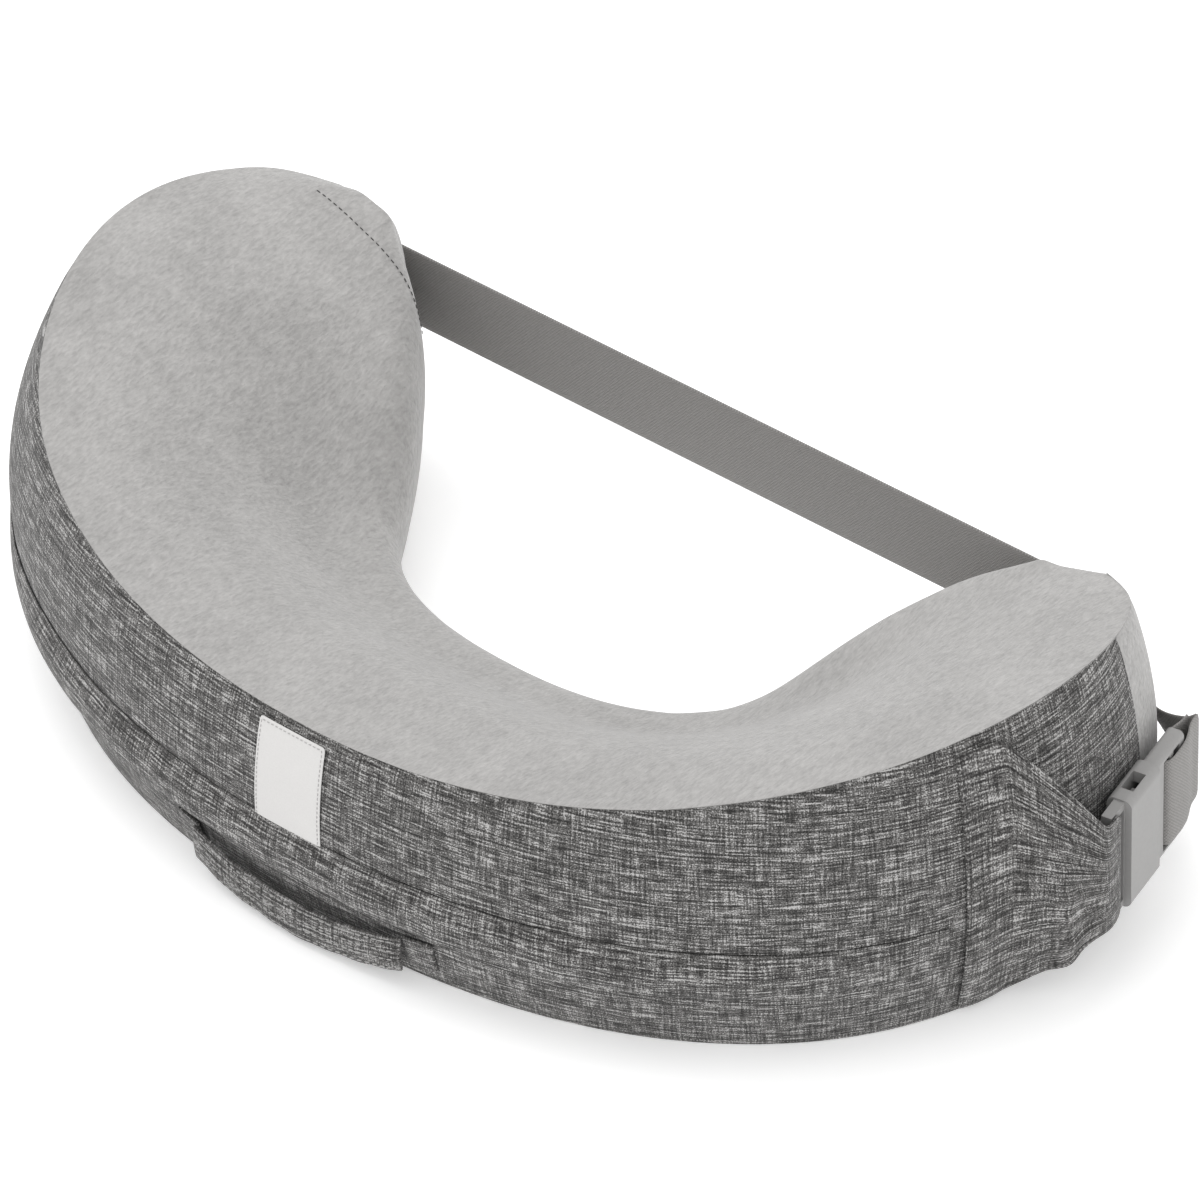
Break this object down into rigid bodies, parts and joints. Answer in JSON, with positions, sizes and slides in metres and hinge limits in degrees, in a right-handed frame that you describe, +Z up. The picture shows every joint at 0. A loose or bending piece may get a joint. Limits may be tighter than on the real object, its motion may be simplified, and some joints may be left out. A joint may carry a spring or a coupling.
{
  "type": "nursing pillow",
  "caption": "Crescent-shaped nursing pillow with a removable plush and woven cover, a carry handle and a buckled waist strap.",
  "frame": {"origin": "on the resting face, on the plane of symmetry, midway between the front wall and the inner curve of the crescent", "axes": "+Z up, +X towards the tip that carries the buckle, -Y towards the convex front with the label and handle"},
  "size_m": [0.5977, 0.3161, 0.1543],
  "materials": {
    "foam": "open-cell foam",
    "liner": "thin knitted liner",
    "plush": "short-pile plush",
    "woven_cover": "heathered slub weave",
    "zip_tape": "woven zip tape",
    "zip_coil": "nylon coil",
    "zip_metal": "painted zinc",
    "label": "woven satin label",
    "webbing": "flat webbing",
    "buckle_plastic": "fine moulded matte"
  },
  "bodies": {
    "pillow": {"foam_core": "foam", "foam_liner": "liner", "top_panel": "plush", "inner_panel": "plush", "end_panel_left": "plush", "end_panel_right": "plush", "outer_wall": "woven_cover", "lower_band": "woven_cover", "base_panel": "woven_cover", "zip_flap": "woven_cover", "zip_tape_upper": "zip_tape", "zip_tape_lower": "zip_tape", "zip_coil": "zip_coil", "zip_stops": "zip_metal", "woven_label": "label", "wing_left": "woven_cover", "wing_right": "woven_cover", "wing_loop": "woven_cover", "handle_tabs": "woven_cover", "waist_strap": "webbing", "buckle_female": "buckle_plastic"},
    "zip_slider_body": {"zip_slider": "zip_metal", "zip_pull": "zip_metal"},
    "handle": {"carry_handle": "woven_cover"},
    "tongue": {"buckle_male": "buckle_plastic", "strap_end": "webbing"},
    "upper_prong": {"prong_upper": "buckle_plastic"},
    "lower_prong": {"prong_lower": "buckle_plastic"}
  },
  "joints": [
    {"name": "zip_run", "type": "hinge", "parent": "pillow", "child": "zip_slider_body", "pos_m": [0, 0.364, 0.046], "axis": [0, 0, 1], "range_deg": [0, 37]},
    {"name": "handle_lift", "type": "hinge", "parent": "pillow", "child": "handle", "pos_m": [0, -0.07633, 0.0295], "axis": [-1, 0, 0], "range_deg": [0, 90]},
    {"name": "buckle_release", "type": "slide", "parent": "pillow", "child": "tongue", "axis": [-0.1736, 0.9848, 0], "range_m": [0, 0.032]},
    {"name": "prong_squeeze_upper", "type": "hinge", "parent": "tongue", "child": "upper_prong", "pos_m": [0.2916, 0.15, 0.0845], "axis": [0.9848, 0.1736, 0], "range_deg": [0, 6], "stiffness_Nm_per_rad": 0.5},
    {"name": "prong_squeeze_lower", "type": "hinge", "parent": "tongue", "child": "lower_prong", "pos_m": [0.2916, 0.15, 0.0475], "axis": [-0.9848, -0.1736, 0], "range_deg": [0, 6], "stiffness_Nm_per_rad": 0.5}
  ]
}
